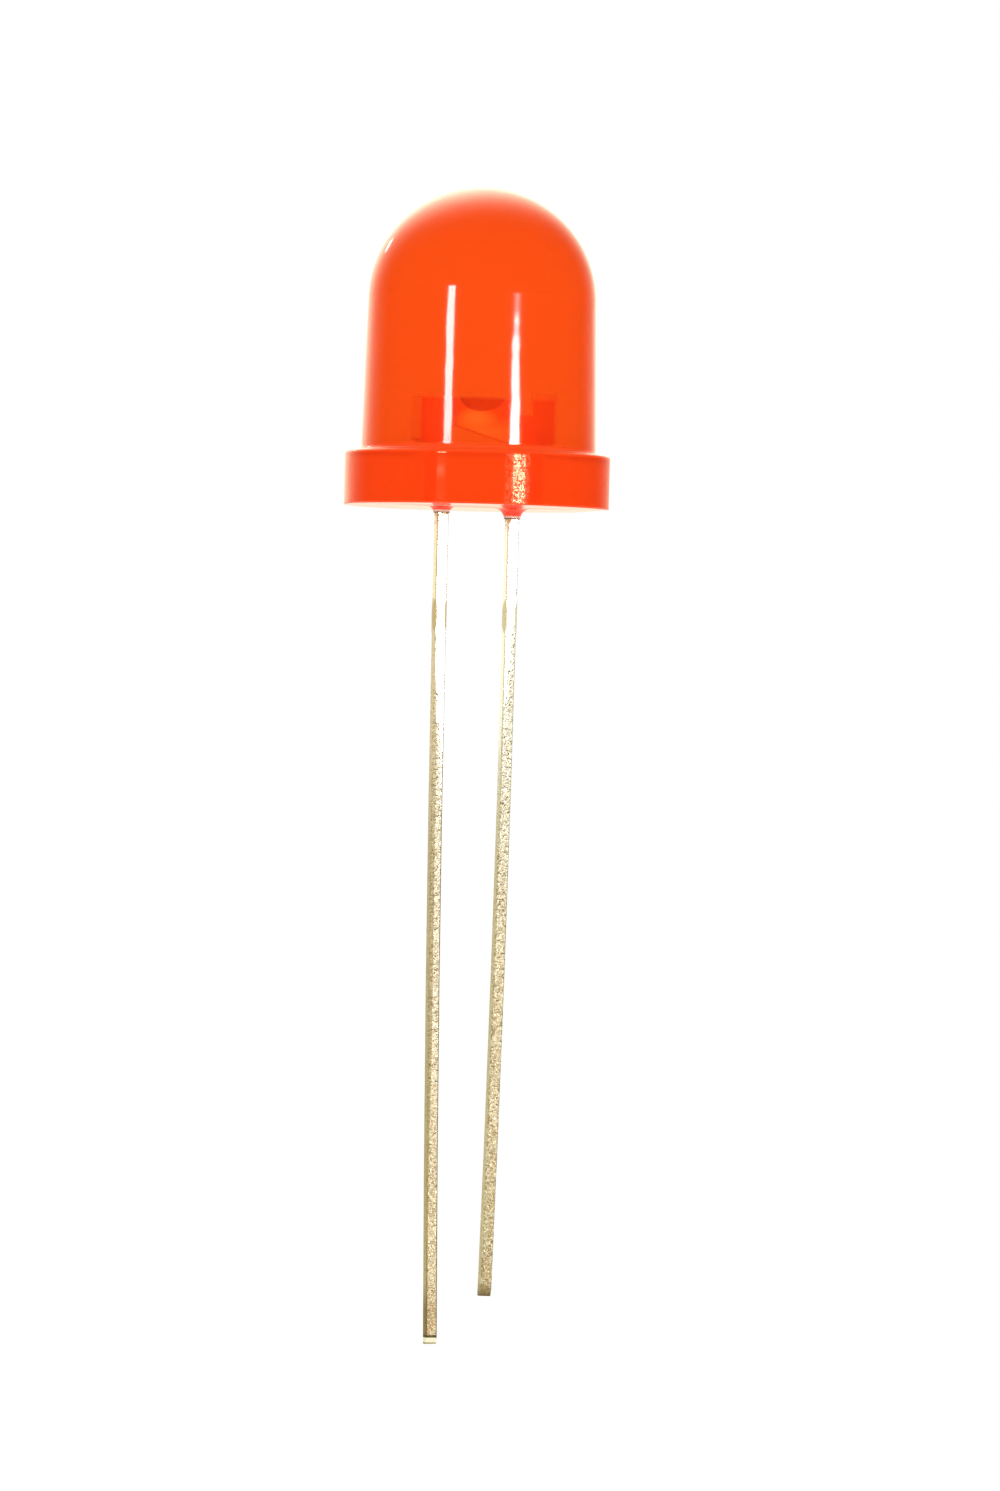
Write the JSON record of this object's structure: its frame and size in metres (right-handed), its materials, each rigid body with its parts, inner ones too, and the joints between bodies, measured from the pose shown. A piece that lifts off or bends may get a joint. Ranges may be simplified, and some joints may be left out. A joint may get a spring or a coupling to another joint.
{
  "type": "through hole led",
  "caption": "Round through hole light-emitting diode with a domed tinted lens, a flange with a cathode flat and two long straight leads.",
  "frame": {"origin": "centre of the seating plane, the underside of the flange, on the axis of the lens", "axes": "as the diode stands on a board: +Z the lens axis, to the dome, the leads to -Z, -Y the front of the lead frame, the cathode lead and the flat of the flange to +X"},
  "size_m": [0.0087, 0.0092, 0.0398],
  "materials": {
    "tinted_epoxy": "gloss",
    "tinned_steel": "satin",
    "semiconductor": "gloss",
    "silver_epoxy": "satin",
    "gold_wire": "polished"
  },
  "bodies": {
    "root": {"epoxy_lens": "tinted_epoxy", "anode_lead": "tinned_steel", "cathode_lead": "tinned_steel", "led_die": "semiconductor", "die_attach": "silver_epoxy", "bond_wire": "gold_wire"}
  },
  "joints": []
}
